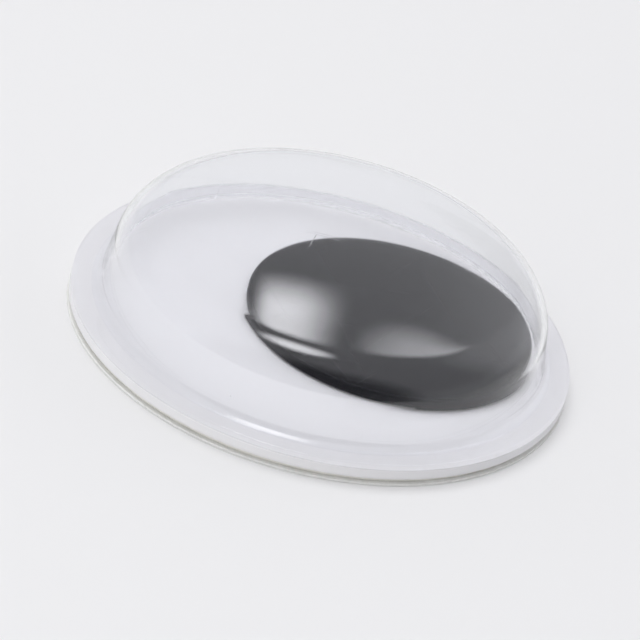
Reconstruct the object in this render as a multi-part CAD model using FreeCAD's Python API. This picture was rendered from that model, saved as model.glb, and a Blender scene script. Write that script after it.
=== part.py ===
import FreeCAD, Part
import math
import os

# Stick-on wiggle eye, lying on its release liner. Millimetres and degrees, +Z up.
# The origin is the centre of the liner's lower face. +X points to the side of the
# case that the loose pupil rests against.

# Case
eye_diameter = 18.0

# Peel-off paper liner
liner_thickness = 0.10

# Adhesive pad, die-cut with the liner and drawn in a little by its own tack
pad_thickness = 0.15
pad_edge_inset = 0.12

# White backing disc
backing_thickness = 0.40
backing_edge_break = 0.08

# Clear dome, formed from one film. The radii are those of its outer face, and the
# inner face is parallel to it.
film_thickness = 0.20
flange_width = 0.70
flange_edge_break = 0.08
foot_radius = 0.30
wall_draft = 9.0
wall_length = 1.30
shoulder_radius = 1.80
crown_radius = 27.0

# Loose black pupil
pupil_diameter = 10.4
pupil_thickness = 0.40
pupil_edge_break = 0.10

# Running clearances of the pupil
pupil_floor_clearance = 0.03
pupil_wall_clearance = 0.05

# Levels of the stack, from the table up
pad_level = liner_thickness
backing_level = pad_level + pad_thickness
dome_level = backing_level + backing_thickness
pupil_level = dome_level + pupil_floor_clearance

eye_radius = eye_diameter / 2
pupil_radius = pupil_diameter / 2

origin = FreeCAD.Vector(0, 0, 0)
up = FreeCAD.Vector(0, 0, 1)


def section_point(radius, height):
    # A point of the half section, which lies in the XZ plane.
    return FreeCAD.Vector(radius, 0, height)


def section_direction(angle):
    # A unit vector of the half section: 0 points away from the axis, 90 points up.
    turn = math.radians(angle)
    return FreeCAD.Vector(math.cos(turn), 0, math.sin(turn))


def unit(vector):
    return vector * (1 / vector.Length)


# The film's section is a chain of tangent lines and arcs, and both of its faces share
# the arcs' centres. The foot curves outward, the shoulder and the crown inward.
wall_normal = section_direction(wall_draft)
wall_rise = section_direction(90 + wall_draft)
foot_centre = section_point(eye_radius - flange_width, dome_level + film_thickness + foot_radius)
wall_foot = foot_centre - wall_normal * foot_radius
wall_top = wall_foot + wall_rise * wall_length
shoulder_centre = wall_top - wall_normal * shoulder_radius
crown_drop = math.sqrt((crown_radius - shoulder_radius) ** 2 - shoulder_centre.x**2)
crown_centre = section_point(0, shoulder_centre.z - crown_drop)
crown_normal = unit(shoulder_centre - crown_centre)


def line_edge(start, end):
    return Part.LineSegment(start, end).toShape()


def arc_edge(centre, radius, first, last):
    # The arc between two unit directions from its centre.
    directions = (first, unit(first + last), last)
    return Part.Arc(*[centre + direction * radius for direction in directions]).toShape()


def tangent_corner(centre, radius, first, last):
    # Where the tangents at two directions of an arc meet.
    between = unit(first + last)
    return centre + between * (radius / between.dot(first))


def cap_edges(depth):
    # Shoulder and crown of the film's section, this far below its outer face.
    return [
        arc_edge(shoulder_centre, shoulder_radius - depth, wall_normal, crown_normal),
        arc_edge(crown_centre, crown_radius - depth, crown_normal, up),
    ]


def outer_face_edges():
    rim = section_point(eye_radius, dome_level + film_thickness)
    return [
        line_edge(rim, foot_centre - up * foot_radius),
        arc_edge(foot_centre, foot_radius, up * -1, wall_normal * -1),
        line_edge(wall_foot, wall_top),
        *cap_edges(0),
    ]


def inner_face_edges():
    # Its foot, hidden in the corner over the backing, is one flat that touches the arc.
    radius = foot_radius + film_thickness
    down, inward = up * -1, wall_normal * -1
    between = unit(down + inward)
    rim = section_point(eye_radius, dome_level)
    flat_start = tangent_corner(foot_centre, radius, down, between)
    flat_end = tangent_corner(foot_centre, radius, between, inward)
    return [
        line_edge(rim, flat_start),
        line_edge(flat_start, flat_end),
        line_edge(flat_end, wall_top - wall_normal * film_thickness),
        *cap_edges(film_thickness),
    ]


def edge_circle(solid, radius, height):
    # The solid's circular edge of this radius at this height.
    for edge in solid.Edges:
        on_level = abs(edge.BoundBox.ZMin - height) < 1e-6 and abs(edge.BoundBox.ZMax - height) < 1e-6
        if on_level and isinstance(edge.Curve, Part.Circle) and abs(edge.Curve.Radius - radius) < 1e-6:
            return edge
    raise ValueError(f"no circle of radius {radius} at height {height}")


def make_clear_dome():
    crown_top = crown_centre + up * crown_radius
    cut_rim = section_point(eye_radius, dome_level)
    ends = [
        line_edge(crown_top, crown_top - up * film_thickness),
        line_edge(cut_rim, cut_rim + up * film_thickness),
    ]
    outline = Part.Wire(Part.__sortEdges__(outer_face_edges() + inner_face_edges() + ends))
    dome = Part.Face(outline).revolve(origin, up, 360)
    top_edge = edge_circle(dome, eye_radius, dome_level + film_thickness)
    return dome.makeChamfer(flange_edge_break, [top_edge])


def make_disc(radius, thickness, level):
    # A flat disc on the Z axis, as cut from sheet.
    return Part.makeCylinder(radius, thickness, section_point(0, level))


def make_broken_disc(radius, thickness, level, edge_break):
    # A disc with both of its sharp rims broken by a chamfer.
    disc = make_disc(radius, thickness, level)
    rims = [edge_circle(disc, radius, height) for height in (level, level + thickness)]
    return disc.makeChamfer(edge_break, rims)


def make_release_liner():
    return make_disc(eye_radius, liner_thickness, 0)


def make_adhesive_pad():
    return make_disc(eye_radius - pad_edge_inset, pad_thickness, pad_level)


def make_backing_disc():
    return make_broken_disc(eye_radius, backing_thickness, backing_level, backing_edge_break)


def pupil_offset():
    # How far the pupil's centre stands from the axis when the upper corner of its side
    # is the wall clearance away from the inner face of the drafted wall.
    corner_level = pupil_level + pupil_thickness - pupil_edge_break
    inner_wall = wall_foot - wall_normal * film_thickness
    wall_lean = (corner_level - inner_wall.z) * wall_normal.z
    corner_reach = inner_wall.x - (pupil_wall_clearance + wall_lean) / wall_normal.x
    return corner_reach - pupil_radius


def make_pupil():
    pupil = make_broken_disc(pupil_radius, pupil_thickness, pupil_level, pupil_edge_break)
    return pupil.translated(FreeCAD.Vector(pupil_offset(), 0, 0))


pieces = {
    "release_liner": make_release_liner(),
    "adhesive_pad": make_adhesive_pad(),
    "backing_disc": make_backing_disc(),
    "clear_dome": make_clear_dome(),
    "pupil": make_pupil(),
}

os.makedirs("parts", exist_ok=True)
for name, piece in pieces.items():
    piece.exportStep(f"parts/{name}.step")
    print(name, "valid" if piece.isValid() else "not valid", "volume", round(piece.Volume, 3))

overall_height = crown_centre.z + crown_radius
pupil_top = pupil_level + pupil_thickness
print("overall height", round(overall_height, 4))
print("room over the pupil", round(overall_height - film_thickness - pupil_top, 4))
print("pupil travel from wall to wall", round(2 * pupil_offset(), 4))
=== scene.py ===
import math
import bmesh
import bpy
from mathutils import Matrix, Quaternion, Vector, noise


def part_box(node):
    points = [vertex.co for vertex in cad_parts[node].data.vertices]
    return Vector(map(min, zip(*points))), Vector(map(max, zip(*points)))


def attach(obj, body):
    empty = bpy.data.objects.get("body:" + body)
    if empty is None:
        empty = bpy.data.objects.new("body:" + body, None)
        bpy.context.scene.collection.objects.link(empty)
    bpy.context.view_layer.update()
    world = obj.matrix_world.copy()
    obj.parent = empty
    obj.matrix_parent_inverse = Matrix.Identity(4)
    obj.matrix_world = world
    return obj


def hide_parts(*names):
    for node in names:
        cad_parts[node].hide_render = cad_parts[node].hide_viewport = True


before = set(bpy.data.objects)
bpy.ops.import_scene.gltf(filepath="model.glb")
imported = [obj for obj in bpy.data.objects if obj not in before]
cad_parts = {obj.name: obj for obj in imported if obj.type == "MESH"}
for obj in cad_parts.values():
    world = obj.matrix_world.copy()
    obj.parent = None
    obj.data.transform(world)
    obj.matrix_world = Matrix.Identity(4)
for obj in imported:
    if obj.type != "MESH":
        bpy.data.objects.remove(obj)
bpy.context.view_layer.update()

# Stick-on wiggle eye, lying on its liner. Metres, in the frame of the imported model.
mm = 0.001


class Wire:
    # One output of a shader graph. Arithmetic on it adds Math nodes to that graph.
    def __init__(self, tree, socket=None):
        self.tree = tree
        self.socket = socket

    def node(self, kind, settings=None, inputs=None, output=0):
        # Any node: its type, its settings, then the values or wires of its sockets.
        made = self.tree.nodes.new(kind)
        for name, value in (settings or {}).items():
            setattr(made, name, value)
        for name, value in (inputs or {}).items():
            if isinstance(value, Wire):
                self.tree.links.new(value.socket, made.inputs[name])
            else:
                made.inputs[name].default_value = value
        return Wire(self.tree, made.outputs[output]) if made.outputs else made

    def math(self, operation, *values):
        inputs = dict(enumerate(values))
        return self.node("ShaderNodeMath", {"operation": operation}, inputs)

    def vector(self, operation, *values, output=0):
        inputs = dict(enumerate(values))
        return self.node("ShaderNodeVectorMath", {"operation": operation}, inputs, output)

    def part(self, axis):
        return self.node("ShaderNodeSeparateXYZ", {}, {0: self}, axis)

    def __add__(self, other):
        return self.math("ADD", self, other)

    def __sub__(self, other):
        return self.math("SUBTRACT", self, other)

    def __rsub__(self, other):
        return self.math("SUBTRACT", other, self)

    def __mul__(self, other):
        return self.math("MULTIPLY", self, other)

    def __truediv__(self, other):
        return self.math("DIVIDE", self, other)

    def __rtruediv__(self, other):
        return self.math("DIVIDE", other, self)

    __radd__ = __add__
    __rmul__ = __mul__


def ease(value, low, high):
    # 0 below low, 1 above high, smooth between. A low above high turns it round.
    inputs = {0: value, 1: low, 2: high, 3: 0.0, 4: 1.0}
    return value.node("ShaderNodeMapRange", {"interpolation_type": "SMOOTHSTEP"}, inputs)


def mixColour(amount, first, second):
    # A Mix node's colours go in at 6 and 7 and come out at 2.
    inputs = {0: amount}
    for slot, colour in ((6, first), (7, second)):
        inputs[slot] = colour if isinstance(colour, Wire) else (*colour, 1)
    return amount.node("ShaderNodeMix", {"data_type": "RGBA"}, inputs, 2)


def newFinish(name):
    # An empty material, and the wire for a place on its surface.
    material = bpy.data.materials.new(name)
    material.use_nodes = True
    material.node_tree.nodes.clear()
    start = Wire(material.node_tree)
    place = start.node("ShaderNodeTexCoord", output="Object")
    return material, place


def finishWith(material, shader):
    shader.node("ShaderNodeOutputMaterial", {}, {"Surface": shader})
    return material


def grain(place, size, detail=2.0):
    # Soft noise from 0 to 1 with spots about this large.
    inputs = {"Vector": place, "Scale": 1 / size, "Detail": detail}
    return place.node("ShaderNodeTexNoise", {}, inputs)


def turnedBy(place, angle):
    inputs = {"Vector": place, "Angle": math.radians(angle)}
    return place.node("ShaderNodeVectorRotate", {"rotation_type": "Z_AXIS"}, inputs)


def drawnOut(place, angle, length, width):
    # The place turned about Z and scaled, so that a texture on it is drawn out one way.
    scale = (1 / length, 1 / width, 1 / width)
    return place.vector("MULTIPLY", turnedBy(place, angle), scale)


def picked(luck, share):
    # 1 for this share of the random numbers, 0 for the others.
    sharpness = 0.01
    return ease(luck, share, share - sharpness)


hairline = {
    "spread": 12 * mm,  # the middles lie within this stretch of their lanes
    "slant": 0.6,  # more of it turns them further out of their direction
    "fade": (0.5, 0.3),  # parts of the length, from the middle, where one is gone and still full
}


def hairlines(place, angle, gap, width, length, share):
    # Straight fine scratches. Each lane across this direction may hold one, at a place of its own.
    lying = turnedBy(place, angle)
    across = lying.part("Y") / gap
    lane = across.math("FLOOR", across)
    seed = {"W": lane + angle}
    luck = lane.node("ShaderNodeTexWhiteNoise", {"noise_dimensions": "1D"}, seed, "Color")
    chance, start, tilt = [
        lane.node("ShaderNodeSeparateColor", {}, {0: luck}, channel) for channel in range(3)
    ]
    reach = lying.part("X") - (start - 0.5) * hairline["spread"]
    offset = across - lane - 0.5 - (tilt - 0.5) * reach / length * hairline["slant"]
    line = ease(offset.math("ABSOLUTE", offset), width / gap, 0.0)
    gone, full = hairline["fade"]
    span = ease(reach.math("ABSOLUTE", reach), length * gone, length * full)
    return line * span * picked(chance, share)


def scratched(place, directions):
    # The scratches of several directions. Each has its angle, gap, width, length and share.
    marks = [hairlines(place, *direction) for direction in directions]
    return sum(marks[1:], marks[0])


def specks(place, spacing, size, share, seed=0.0):
    # Round dust specks, one in each cell that the share picks.
    moved = place.vector("ADD", place, (seed * mm,) * 3)
    inputs = {"Vector": moved, "Scale": 1 / spacing}
    nearest = place.node("ShaderNodeTexVoronoi", {}, inputs)
    tint = place.node("ShaderNodeTexVoronoi", {}, inputs, "Color")
    luck = place.node("ShaderNodeSeparateColor", {}, {0: tint})
    return ease(nearest, size / spacing, size / spacing * 0.5) * picked(luck, share)


def bumped(height, distance, below=None):
    # Relief of this height, on top of the relief below it.
    inputs = {"Height": height, "Distance": distance, "Strength": 1.0}
    if below:
        inputs["Normal"] = below
    return height.node("ShaderNodeBump", {}, inputs)


def radiusOf(place):
    # Distance from the Z axis.
    level = place.vector("MULTIPLY", place, (1, 1, 0))
    return place.vector("LENGTH", level, output="Value")


# Section outlines are lists of (radius, height) pairs, and angles are in degrees.
onAxis = 1e-9  # a point with a smaller radius stands on the axis
sharpFrom = 35  # an edge is sharp from this angle between its faces


def along(angle):
    return Vector((math.cos(math.radians(angle)), math.sin(math.radians(angle))))


def arc(centre, radius, first, last, steps):
    turn = (last - first) / steps
    return [centre + along(first + turn * step) * radius for step in range(steps + 1)]


def run(start, end, steps):
    # The points between two ends of a straight stretch, without the ends.
    return [start.lerp(end, step / steps) for step in range(1, steps)]


def turned(name, outline, segments, reshape=None):
    # A solid of revolution. A point on the axis becomes one vertex, and reshape moves a vertex.
    form = bmesh.new()
    rings = []
    for radius, height in outline:
        spokes = 1 if radius < onAxis else segments
        ring = []
        for spoke in range(spokes):
            angle = math.tau * spoke / segments
            spot = Vector((radius * math.cos(angle), radius * math.sin(angle), height))
            ring.append(form.verts.new(reshape(spot) if reshape else spot))
        rings.append(ring)
    closed = len(rings[0]) > 1
    for ring, after in zip(rings, rings[1:] + rings[:1] if closed else rings[1:]):
        for spoke in range(segments):
            corners = [ring[spoke % len(ring)], ring[(spoke + 1) % len(ring)]]
            corners += [after[(spoke + 1) % len(after)], after[spoke % len(after)]]
            form.faces.new(list(dict.fromkeys(corners)))
    bmesh.ops.recalc_face_normals(form, faces=form.faces)
    mesh = bpy.data.meshes.new(name)
    form.to_mesh(mesh)
    form.free()
    mesh.polygons.foreach_set("use_smooth", [True] * len(mesh.polygons))
    mesh.set_sharp_from_angle(angle=math.radians(sharpFrom))
    piece = bpy.data.objects.new(name, mesh)
    bpy.context.collection.objects.link(piece)
    return piece


def uneven(spot):
    # Slow unevenness from 0 to 1 that follows the place.
    return noise.noise(spot) * 0.5 + 0.5


cutEdge = {
    "from": 8.6 * mm,  # what lies further out is part of the cut rim
    "wander": 0.025 * mm,
    "waves": 4,
}


def cutRim(spot):
    # One die cuts film and backing together, not quite round.
    reach = math.hypot(spot.x, spot.y)
    if reach > cutEdge["from"]:
        around = Vector((spot.x, spot.y, 0)) / reach * cutEdge["waves"]
        spot.xy *= 1 - uneven(around) * cutEdge["wander"] / reach
    return spot


def dressed(piece, material, body, node):
    piece.data.materials.append(material)
    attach(piece, body)
    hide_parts(node)
    return piece


# Camera
camera = {
    "azimuth": -23,
    "elevation": 30.5,
    "roll": 15,
    "lens": 400,
    "width": 22.5 * mm,  # what the picture shows from side to side at the eye
    "aim": (-0.11 * mm, -0.06 * mm, 0.9 * mm),
    "clip": (0.1, 20),  # start and end of what it sees, as parts of its distance
}


def makeCamera():
    lens = bpy.data.cameras.new("camera")
    lens.lens = camera["lens"]
    distance = camera["width"] * lens.lens / lens.sensor_width
    near, far = camera["clip"]
    lens.clip_start = distance * near
    lens.clip_end = distance * far
    azimuth, elevation = math.radians(camera["azimuth"]), math.radians(camera["elevation"])
    level = math.cos(elevation)
    back = Vector((math.sin(azimuth) * level, -math.cos(azimuth) * level, math.sin(elevation)))
    body = bpy.data.objects.new("camera", lens)
    body.location = Vector(camera["aim"]) + back * distance
    body.rotation_mode = "QUATERNION"
    turn = Quaternion((0, 0, 1), math.radians(camera["roll"]))
    body.rotation_quaternion = (-back).to_track_quat("-Z", "Y") @ turn
    bpy.context.collection.objects.link(body)
    bpy.context.scene.camera = body


# Floor
floor = {
    "size": 3.0,
    "squares": 8,
    "gap": 0.01 * mm,  # the liner lies this far above it
    "colour": (0.75, 0.75, 0.75),
    "shade": (0.72, 0.72, 0.72),
    "mottle": (0.3, 0.1),  # size of the spots, and how much of the shade they bring
    "roughness": 0.6,
    "glow": 0.2,  # share of plain white in what the camera, mirrors and glass see of it
}


def makeFloor():
    material, place = newFinish("paleFloor")
    size, amount = floor["mottle"]
    colour = mixColour(grain(place, size) * amount, floor["colour"], floor["shade"])
    inputs = {"Base Color": colour, "Roughness": floor["roughness"]}
    board = place.node("ShaderNodeBsdfPrincipled", {}, inputs)
    white = place.node("ShaderNodeEmission", {}, {"Color": (1, 1, 1, 1), "Strength": 1.0})
    kinds = ("Camera", "Glossy", "Transmission")
    rays = [place.node("ShaderNodeLightPath", output=f"Is {kind} Ray") for kind in kinds]
    seen = rays[0] + rays[1] + rays[2]
    shares = {0: seen * floor["glow"], 1: board, 2: white}
    finishWith(material, place.node("ShaderNodeMixShader", {}, shares))
    form = bmesh.new()
    squares = floor["squares"]
    bmesh.ops.create_grid(form, x_segments=squares, y_segments=squares, size=floor["size"] / 2)
    mesh = bpy.data.meshes.new("floor")
    form.to_mesh(mesh)
    form.free()
    ground = bpy.data.objects.new("floor", mesh)
    ground.location.z = -floor["gap"]
    mesh.materials.append(material)
    bpy.context.collection.objects.link(ground)


# Studio. Angles are in degrees, to the right of straight ahead and up. A part says how much
# of a direction points ahead, to the right or up, from -1 to 1.
studio = {
    # Brightness of the wall and of the sweep at its foot, far from the camera and near it
    "farWall": 0.56,
    "nearWall": 0.01,
    "farSweep": 0.70,
    "nearSweep": 0.10,
    "farFrom": (-0.72, -0.38),  # parts ahead at which near turns into far
    "wallFoot": (0.42, 0.12),  # parts up at which the wall turns into the sweep
    "blue": 1.04,
    # Soft boxes: brightness, angle to the right, elevation, radius, softness
    "boxes": [
        (7.0, -90, 85, 7, 5),
        (2.2, 22.5, 53.5, 4.5, 5.5),
        (0.5, 48, 28, 20, 15),
    ],
    # A window: brightness, then the parts to the right and up at which its light starts, is
    # full, still is and ends, and the parts ahead that keep it on the far side
    "window": (5.5, (-0.135, -0.095, -0.065, 0.05), (0.69, 0.80, 0.86, 0.92), (0.0, 0.2)),
    # Lamps: name, watts, size, angle to the right, elevation, distance
    "lamps": [
        ("keyLamp", 0.28, 0.16, -55, 62, 0.33),
        ("fillLamp", 0.65, 0.30, 205, 20, 0.38),
    ],
}


def skyDirection(rightward, elevation):
    # A direction in the studio, from straight ahead of the camera at the floor's level.
    around, elevation = math.radians(rightward - camera["azimuth"]), math.radians(elevation)
    level = math.cos(elevation)
    return Vector((math.sin(around) * level, math.cos(around) * level, math.sin(elevation)))


def partTowards(looking, direction):
    return looking.vector("DOT_PRODUCT", looking, direction, output="Value")


def band(value, start, full, last, end):
    # 0 outside start and end, 1 from full to last.
    return ease(value, start, full) * ease(value, end, last)


def skyLight(looking):
    # Brightness of the studio in the direction that a ray looks.
    height = looking.part("Z")
    ahead = partTowards(looking, skyDirection(0, 0))
    side = partTowards(looking, skyDirection(90, 0))
    far = ease(ahead, *studio["farFrom"])
    wall = far * (studio["farWall"] - studio["nearWall"]) + studio["nearWall"]
    sweep = far * (studio["farSweep"] - studio["nearSweep"]) + studio["nearSweep"]
    low = ease(height, *studio["wallFoot"])
    light = wall * (1 - low) + sweep * low
    brightness, across, up, onwards = studio["window"]
    pane = band(side, *across) * band(height, *up) * ease(ahead, *onwards)
    light = light + pane * brightness
    for brightness, rightward, elevation, radius, softness in studio["boxes"]:
        facing = partTowards(looking, skyDirection(rightward, elevation))
        rim = math.cos(math.radians(radius + softness))
        core = math.cos(math.radians(max(radius - softness, 0)))
        light = light + ease(facing, rim, core) * brightness
    return light


def makeStudio():
    world = bpy.data.worlds.new("studio")
    bpy.context.scene.world = world
    world.use_nodes = True
    world.node_tree.nodes.clear()
    start = Wire(world.node_tree)
    light = skyLight(start.node("ShaderNodeTexCoord", output="Generated"))
    channels = {0: light, 1: light, 2: light * studio["blue"]}
    colour = light.node("ShaderNodeCombineColor", {}, channels)
    shader = colour.node("ShaderNodeBackground", {}, {"Color": colour, "Strength": 1.0})
    shader.node("ShaderNodeOutputWorld", {}, {"Surface": shader})
    for name, power, size, rightward, elevation, distance in studio["lamps"]:
        lamp = bpy.data.lights.new(name, "AREA")
        lamp.energy = power
        lamp.size = size
        stand = bpy.data.objects.new(name, lamp)
        stand.location = skyDirection(rightward, elevation) * distance
        stand.rotation_mode = "QUATERNION"
        stand.rotation_quaternion = (-stand.location).to_track_quat("-Z", "Y")
        stand.visible_glossy = False  # the dome shows the studio, not these
        stand.visible_transmission = False
        bpy.context.collection.objects.link(stand)


# Clear dome. In every piece's settings, roughness is the plain surface's and then what each
# of the named marks adds to it.
clearDome = {
    "film": 0.20 * mm,
    "flangeWidth": 0.70 * mm,
    "footRadius": 0.30 * mm,
    "wallDraft": 9,
    "wallLength": 1.30 * mm,
    "shoulderRadius": 1.80 * mm,
    "crownRadius": 27.0 * mm,
    "cutRounding": 0.06 * mm,
    "sealDepth": 0.003 * mm,  # the film is melted this far into the backing
    "waviness": 0.02 * mm,
    "waveSize": 5.5 * mm,
    "waveShift": (3.1, 3.1, 3.1),
    "waveRise": (1.0 * mm, 1.5 * mm),  # height at which it starts, and over which it grows
    "capSteps": {"crown": 26, "shoulder": 26, "wall": 6, "foot": 10},
    "rimSteps": {"flange": 4, "cut": 5, "under": 6},
    "segments": 288,
    "colour": (0.985, 0.99, 1.0),
    "shadowColour": (0.95, 0.95, 0.96),
    "scratches": [
        (25, 1.3 * mm, 0.012 * mm, 5 * mm, 0.6),
        (118, 1.9 * mm, 0.010 * mm, 7 * mm, 0.6),
    ],
    "dust": (1.3 * mm, 0.035 * mm, 0.3),  # spacing, size, share
    "dustColour": (0.75, 0.75, 0.74),
    "dustCover": 0.5,
    "cloudSize": 2.5 * mm,
    "roughness": (0.02, 0.03, 0.05, 0.3),  # with clouds, scratches and dust
    "peel": (0.9 * mm, 0.0005 * mm),  # size and height
    "dustHeight": 0.0012 * mm,
    "scratchDepth": 0.3,  # of the dust's height
    "ior": 1.5,
}
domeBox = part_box("clear_dome")


def domeOutline():
    # The film's section from the top of the crown out to the cut rim, and back inside.
    d = clearDome
    steps = d["capSteps"] | d["rimSteps"]
    low, high = domeBox
    rim, film, foot = high[0], d["film"], d["footRadius"]
    footCentre = Vector((rim - d["flangeWidth"], low[2] + film + foot))
    outward = along(d["wallDraft"])
    rise = along(90 + d["wallDraft"])
    wallTop = footCentre - outward * foot + rise * d["wallLength"]
    shoulderCentre = wallTop - outward * d["shoulderRadius"]
    reach = d["crownRadius"] - d["shoulderRadius"]
    crownCentre = Vector((0, shoulderCentre.y - math.sqrt(reach**2 - shoulderCentre.x**2)))
    lean = math.degrees(math.acos(shoulderCentre.x / reach))
    faces = []
    for depth in (0, film):
        crown = arc(crownCentre, d["crownRadius"] - depth, 90, lean, steps["crown"])
        crown[0].x = 0
        shoulderRadius = d["shoulderRadius"] - depth
        shoulder = arc(shoulderCentre, shoulderRadius, lean, d["wallDraft"], steps["shoulder"])
        bend = arc(footCentre, foot + depth, 180 + d["wallDraft"], 270, steps["foot"])
        wall = run(shoulder[-1], bend[0], steps["wall"])
        faces.append(crown + shoulder[1:] + wall + bend)
    outer, inner = faces
    inner[-1].y -= d["sealDepth"]
    rounding = d["cutRounding"]
    corner = Vector((rim - rounding, low[2] + film - rounding))
    edge = arc(corner, rounding, 90, 0, steps["cut"]) + [Vector((rim, inner[-1].y))]
    flange = run(outer[-1], edge[0], steps["flange"])
    under = run(edge[-1], inner[-1], steps["under"])
    return outer + flange + edge + under + inner[::-1]


def domeShape(spot):
    # The formed film is a little uneven, most at its crown.
    d = clearDome
    start, growth = d["waveRise"]
    rise = max(0.0, min(1.0, (spot.z - domeBox[0][2] - start) / growth))
    level = Vector((spot.x, spot.y, 0)) / d["waveSize"] + Vector(d["waveShift"])
    spot.z -= uneven(level) * d["waviness"] * rise
    return cutRim(spot)


def filmFinish():
    # Clear plastic that lets the lamps' light through, so that what it covers is lit.
    d = clearDome
    material, place = newFinish("clearFilm")
    scratches = scratched(place, d["scratches"])
    dust = specks(place, *d["dust"])
    plain, clouded, rubbed, dusted = d["roughness"]
    clouds = grain(place, d["cloudSize"])
    roughness = plain + clouds * clouded + scratches * rubbed + dust * dusted
    peelSize, peelHeight = d["peel"]
    peel = bumped(grain(place, peelSize, 1.0), peelHeight)
    relief = bumped(dust - scratches * d["scratchDepth"], d["dustHeight"], peel)
    colour = mixColour(dust * d["dustCover"], d["colour"], d["dustColour"])
    inputs = {"Base Color": colour, "Roughness": roughness, "Normal": relief}
    inputs.update({"Transmission Weight": 1.0, "IOR": d["ior"]})
    film = place.node("ShaderNodeBsdfPrincipled", {}, inputs)
    passing = place.node("ShaderNodeBsdfTransparent", {}, {0: (*d["shadowColour"], 1)})
    shadow = place.node("ShaderNodeLightPath", output="Is Shadow Ray")
    shader = place.node("ShaderNodeMixShader", {}, {0: shadow, 1: film, 2: passing})
    return finishWith(material, shader)


def makeClearDome():
    dome = turned("clearDome", domeOutline(), clearDome["segments"], domeShape)
    return dressed(dome, filmFinish(), "eye_case", "clear_dome")


# Flat pieces: backing disc, pupil, adhesive pad and liner
roundingSteps = 5
sideSteps = 3


def discOutline(radius, low, high, lowRounding, highRounding, rings):
    # Half section of a disc with rounded rims, from the centre of its lower face.
    lowCorner = Vector((radius - lowRounding, low + lowRounding))
    highCorner = Vector((radius - highRounding, high - highRounding))
    lower = arc(lowCorner, lowRounding, -90, 0, roundingSteps)
    upper = arc(highCorner, highRounding, 0, 90, roundingSteps)
    start, end = Vector((0, low)), Vector((0, high))
    face = run(start, lower[0], rings)
    side = run(lower[-1], upper[0], sideSteps)
    top = run(upper[-1], end, rings)
    return [start] + face + lower + side + upper + top + [end]


backingDisc = {
    "lowerRounding": 0.08 * mm,
    "upperRounding": 0.02 * mm,
    "rings": 12,
    "segments": 256,
    "colour": (0.87, 0.865, 0.875),
    "shade": (0.83, 0.825, 0.84),
    "shading": (0.5, 0.25),  # how much of the shade the tone and the rubs bring
    "toneSize": 3 * mm,
    "rubs": [(70, 0.9 * mm, 0.015 * mm, 4 * mm, 0.6)],
    "side": (8.9 * mm, 8.97 * mm),  # the cut side starts between these radii
    "striae": (0.05 * mm, 0.01 * mm),  # size and height on the cut side
    "skin": (0.25 * mm, 0.0015 * mm),  # size and height
    "roughness": (0.32, 0.08, 0.1, 0.2),  # with tone, rubs and cut side
    "ior": 1.5,
}


def backingFinish():
    d = backingDisc
    material, place = newFinish("whiteBacking")
    tone = grain(place, d["toneSize"], 3.0)
    side = ease(radiusOf(place), *d["side"])
    rubs = scratched(place, d["rubs"])
    toned, rubbed = d["shading"]
    colour = mixColour(tone * toned + rubs * rubbed, d["colour"], d["shade"])
    plain, toned, rubbed, cut = d["roughness"]
    roughness = plain + tone * toned + rubs * rubbed + side * cut
    skinSize, skinHeight = d["skin"]
    skin = bumped(grain(place, skinSize, 2.0), skinHeight)
    striaSize, striaHeight = d["striae"]
    relief = bumped(grain(place, striaSize, 1.0) * side, striaHeight, skin)
    inputs = {"Base Color": colour, "Roughness": roughness, "Normal": relief, "IOR": d["ior"]}
    return finishWith(material, place.node("ShaderNodeBsdfPrincipled", {}, inputs))


def makeBackingDisc():
    d = backingDisc
    low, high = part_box("backing_disc")
    roundings = d["lowerRounding"], d["upperRounding"]
    outline = discOutline(high[0], low[2], high[2], *roundings, d["rings"])
    disc = turned("backingDisc", outline, d["segments"], cutRim)
    return dressed(disc, backingFinish(), "eye_case", "backing_disc")


pupil = {
    "rounding": 0.10 * mm,
    "rings": 12,
    "segments": 256,
    "colour": (0.007, 0.007, 0.009),
    "rubbedColour": (0.04, 0.04, 0.045),
    "rubs": [
        (12, 0.7 * mm, 0.014 * mm, 3 * mm, 0.7),
        (85, 0.9 * mm, 0.014 * mm, 4 * mm, 0.7),
        (140, 1.1 * mm, 0.016 * mm, 5 * mm, 0.7),
    ],
    "rim": (0.12 * mm, 0.03 * mm),  # the worn rim starts between these distances from the edge
    "wear": (0.35, 0.5),  # how much of the rubbed colour the rubs and the worn rim bring
    "dust": (0.9 * mm, 0.028 * mm, 0.25, 4.0),  # spacing, size, share, seed
    "dustColour": (0.35, 0.35, 0.36),
    "dustCover": 0.8,
    "toneSize": 1.6 * mm,
    "roughness": (0.2, 0.1, 0.2, 0.15, 0.4),  # with tone, rubs, rim and dust
    "skin": (0.5 * mm, 0.0012 * mm),  # size and height
    "dustHeight": 0.004 * mm,
    "rubDepth": 0.4,  # of the dust's height
    "ior": 1.5,
    "specular": 0.14,
}


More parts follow.
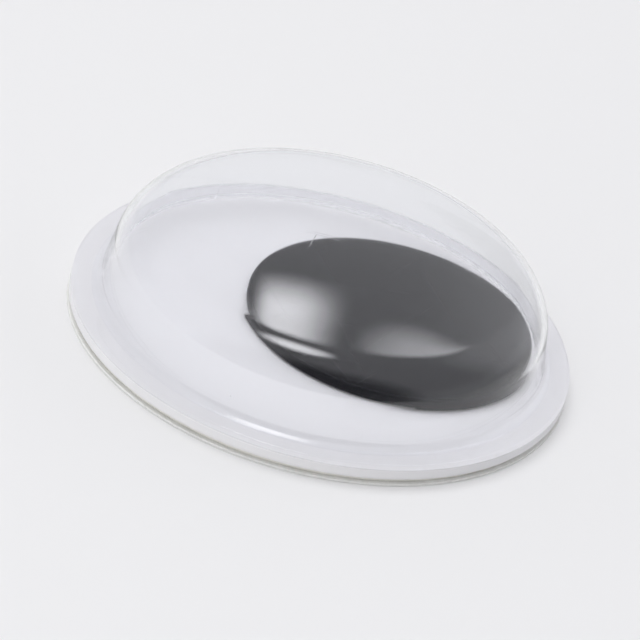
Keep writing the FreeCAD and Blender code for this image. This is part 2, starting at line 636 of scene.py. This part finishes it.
def pupilFinish():
    d = pupil
    material, place = newFinish("blackPupil")
    low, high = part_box("pupil")
    centre = (low[0] + high[0]) / 2
    moved = place.vector("SUBTRACT", place, (centre, 0, 0))
    rim = ease(radiusOf(moved), high[1] - d["rim"][0], high[1] - d["rim"][1])
    rubs = scratched(moved, d["rubs"])
    dust = specks(moved, *d["dust"])
    tone = grain(moved, d["toneSize"], 3.0)
    rubWear, rimWear = d["wear"]
    worn = mixColour(rubs * rubWear + rim * tone * rimWear, d["colour"], d["rubbedColour"])
    colour = mixColour(dust * d["dustCover"], worn, d["dustColour"])
    plain, toned, rubbed, rimmed, dusted = d["roughness"]
    roughness = plain + tone * toned + rubs * rubbed + rim * rimmed + dust * dusted
    skinSize, skinHeight = d["skin"]
    skin = bumped(grain(moved, skinSize, 2.0), skinHeight)
    relief = bumped(dust - rubs * d["rubDepth"], d["dustHeight"], skin)
    inputs = {"Base Color": colour, "Roughness": roughness, "Normal": relief}
    inputs.update({"IOR": d["ior"], "Specular IOR Level": d["specular"]})
    return finishWith(material, place.node("ShaderNodeBsdfPrincipled", {}, inputs))


def makePupil():
    d = pupil
    low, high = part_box("pupil")
    outline = discOutline(high[1], low[2], high[2], d["rounding"], d["rounding"], d["rings"])
    centre = Vector(((low[0] + high[0]) / 2, 0, 0))
    disc = turned("blackPupil", outline, d["segments"], lambda spot: spot + centre)
    return dressed(disc, pupilFinish(), "pupil", "pupil")


adhesivePad = {
    "rounding": 0.4,  # of its thickness
    "rings": 6,
    "segments": 256,
    "rimFrom": 8 * mm,  # what lies further out wanders
    "radius": 9 * mm,  # of the whole eye
    "waves": 9,
    "wander": 0.05 * mm,
    "colour": (0.84, 0.83, 0.79),
    "cellColour": (0.76, 0.75, 0.69),
    "shading": (0.4, 0.3),  # how much of the cell colour the cells and the tone bring
    "cells": (0.09 * mm, 0.02 * mm),  # size and height
    "toneSize": 1.2 * mm,
    "roughness": (0.35, 0.2),  # with the cells
}


def padFinish():
    d = adhesivePad
    material, place = newFinish("tackyPad")
    cellSize, cellHeight = d["cells"]
    cells = place.node("ShaderNodeTexVoronoi", {}, {"Vector": place, "Scale": 1 / cellSize})
    tone = grain(place, d["toneSize"], 3.0)
    cellShade, toneShade = d["shading"]
    colour = mixColour(cells * cellShade + tone * toneShade, d["colour"], d["cellColour"])
    plain, pitted = d["roughness"]
    relief = bumped(cells, cellHeight)
    inputs = {"Base Color": colour, "Roughness": plain + cells * pitted, "Normal": relief}
    return finishWith(material, place.node("ShaderNodeBsdfPrincipled", {}, inputs))


def padShape(spot):
    # Its own tack has drawn the cut rim in a little, here more and there less.
    d = adhesivePad
    around = Vector((spot.x, spot.y, 0))
    if around.length > d["rimFrom"]:
        around = around.normalized() * d["waves"]
        spot.xy *= 1 - uneven(around) * d["wander"] / d["radius"]
    return spot


def makeAdhesivePad():
    d = adhesivePad
    low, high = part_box("adhesive_pad")
    rounding = (high[2] - low[2]) * d["rounding"]
    outline = discOutline(high[0], low[2], high[2], rounding, rounding, d["rings"])
    pad = turned("adhesivePad", outline, d["segments"], padShape)
    return dressed(pad, padFinish(), "eye_case", "adhesive_pad")


releaseLiner = {
    "rounding": 0.02 * mm,
    "rings": 6,
    "segments": 256,
    "colour": (0.85, 0.85, 0.83),
    "fibreColour": (0.76, 0.76, 0.73),
    "contrast": (0.35, 0.7),  # the mottle between these turns from one into the other
    "mottle": (0.7, 0.3),  # shares of the fibres and of the clouds
    "fibreAngles": (15, 100),
    "fibreShape": (3.0, 0.5),  # drawn out this much along and across
    "fibreSize": 0.3 * mm,
    "fibreHeight": 0.012 * mm,
    "cloudSize": 2.5 * mm,
    "roughness": (0.62, 0.15),  # with the fibres
}


def linerFinish():
    d = releaseLiner
    material, place = newFinish("linerPaper")
    drawn = [drawnOut(place, angle, *d["fibreShape"]) for angle in d["fibreAngles"]]
    fibres, crossed = [grain(layer, d["fibreSize"], 4.0) for layer in drawn]
    felt = fibres * 0.5 + crossed * 0.5
    cloud = grain(place, d["cloudSize"], 3.0)
    feltShare, cloudShare = d["mottle"]
    mottle = ease(felt * feltShare + cloud * cloudShare, *d["contrast"])
    colour = mixColour(mottle, d["colour"], d["fibreColour"])
    plain, felted = d["roughness"]
    relief = bumped(felt, d["fibreHeight"])
    inputs = {"Base Color": colour, "Roughness": plain + felt * felted, "Normal": relief}
    return finishWith(material, place.node("ShaderNodeBsdfPrincipled", {}, inputs))


def makeReleaseLiner():
    d = releaseLiner
    low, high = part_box("release_liner")
    outline = discOutline(high[0], low[2], high[2], d["rounding"], d["rounding"], d["rings"])
    liner = turned("releaseLiner", outline, d["segments"])
    return dressed(liner, linerFinish(), "eye_case", "release_liner")


print("camera, floor and studio")
makeCamera()
makeFloor()
makeStudio()
print("case")
makeReleaseLiner()
makeAdhesivePad()
makeBackingDisc()
makeClearDome()
print("pupil")
makePupil()

view = bpy.context.scene.view_settings
view.view_transform = "Standard"
